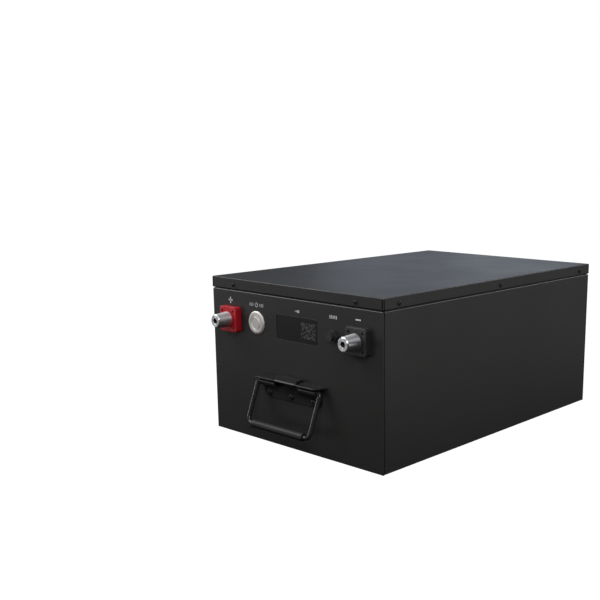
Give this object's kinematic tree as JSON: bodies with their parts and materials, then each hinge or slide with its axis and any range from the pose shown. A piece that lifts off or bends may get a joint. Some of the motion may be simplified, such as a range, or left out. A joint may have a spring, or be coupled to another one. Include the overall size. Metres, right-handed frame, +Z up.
{
  "type": "battery pack",
  "caption": "Rechargeable battery pack in a black folded-steel case with bail handles, a red and a black terminal, a push button and a display.",
  "frame": {"origin": "centre of the case's underside", "axes": "+Z up, -Y towards the front with the terminals, +X to the right seen from the front"},
  "size_m": [0.3234, 0.5274, 0.218],
  "materials": {
    "case_paint": "satin black powder coat, fine texture",
    "gasket_rubber": "solid silicone rubber",
    "black_screws": "black oxide",
    "plated_steel": "zinc plated",
    "red_moulding": "moulded, satin",
    "black_moulding": "moulded, satin",
    "nickel_stud": "bright nickel",
    "button_metal": "fine brushed stainless steel",
    "display_glass": "smoked, glossy",
    "circuit_board": "solder mask",
    "handle_steel": "black, semi-gloss",
    "grip_plastic": "moulded, satin",
    "cell_can": "blue film on an aluminium can",
    "copper": "copper",
    "insulation_board": "glass-fibre board",
    "plain_steel": "zinc plated",
    "aluminium_plate": "milled",
    "fuse_body": "ceramic body",
    "red_cable": "silicone sleeve",
    "black_cable": "silicone sleeve"
  },
  "bodies": {
    "root": {"case_shell": "case_paint", "front_panel": "case_paint", "rear_panel": "case_paint", "lid": "case_paint", "lid_gasket": "gasket_rubber", "display_gasket": "gasket_rubber", "lid_spacer": "gasket_rubber", "base_mat": "gasket_rubber", "side_spacers": "gasket_rubber", "lid_screws": "black_screws", "flange_screws": "black_screws", "handle_screws": "black_screws", "rivet_nuts": "plated_steel", "stud_nuts": "plated_steel", "handle_nuts": "plated_steel", "button_nut": "plated_steel", "positive_flange": "red_moulding", "negative_flange": "black_moulding", "vent_body": "black_moulding", "vent_cap": "black_moulding", "vent_nut": "black_moulding", "inner_insulators": "black_moulding", "switch_body": "black_moulding", "positive_stud": "nickel_stud", "negative_stud": "nickel_stud", "button_bezel": "button_metal", "display_window": "display_glass", "display_board": "circuit_board", "management_board": "circuit_board", "front_handle_bracket": "handle_steel", "rear_handle_bracket": "handle_steel", "cell_1": "cell_can", "cell_2": "cell_can", "cell_3": "cell_can", "cell_4": "cell_can", "cell_5": "cell_can", "cell_6": "cell_can", "cell_7": "cell_can", "cell_8": "cell_can", "busbars": "copper", "positive_link": "copper", "negative_link": "copper", "cable_lugs": "copper", "row_divider": "insulation_board", "front_end_board": "insulation_board", "rear_end_board": "insulation_board", "cover_board": "insulation_board", "cell_separators": "insulation_board", "block_braces": "plain_steel", "heat_plate": "aluminium_plate", "board_posts": "aluminium_plate", "main_fuse": "fuse_body", "positive_cable": "red_cable", "negative_cable": "black_cable", "signal_harness": "black_cable"},
    "front_bail": {"front_handle_bail": "handle_steel", "front_handle_grip": "grip_plastic"},
    "rear_bail": {"rear_handle_bail": "handle_steel", "rear_handle_grip": "grip_plastic"},
    "button": {"button_cap": "button_metal"}
  },
  "joints": [
    {"name": "front_bail_hinge", "type": "hinge", "parent": "root", "child": "front_bail", "pos_m": [0, -0.2456, 0.0868], "axis": [-1, 0, 0], "range_deg": [-21, 69]},
    {"name": "rear_bail_hinge", "type": "hinge", "parent": "root", "child": "rear_bail", "pos_m": [0, 0.2456, 0.0868], "axis": [1, 0, 0], "range_deg": [0, 90]},
    {"name": "button_press", "type": "slide", "parent": "root", "child": "button", "axis": [0, 1, 0], "range_m": [0, 0.0015], "stiffness_N_per_m": 400}
  ]
}
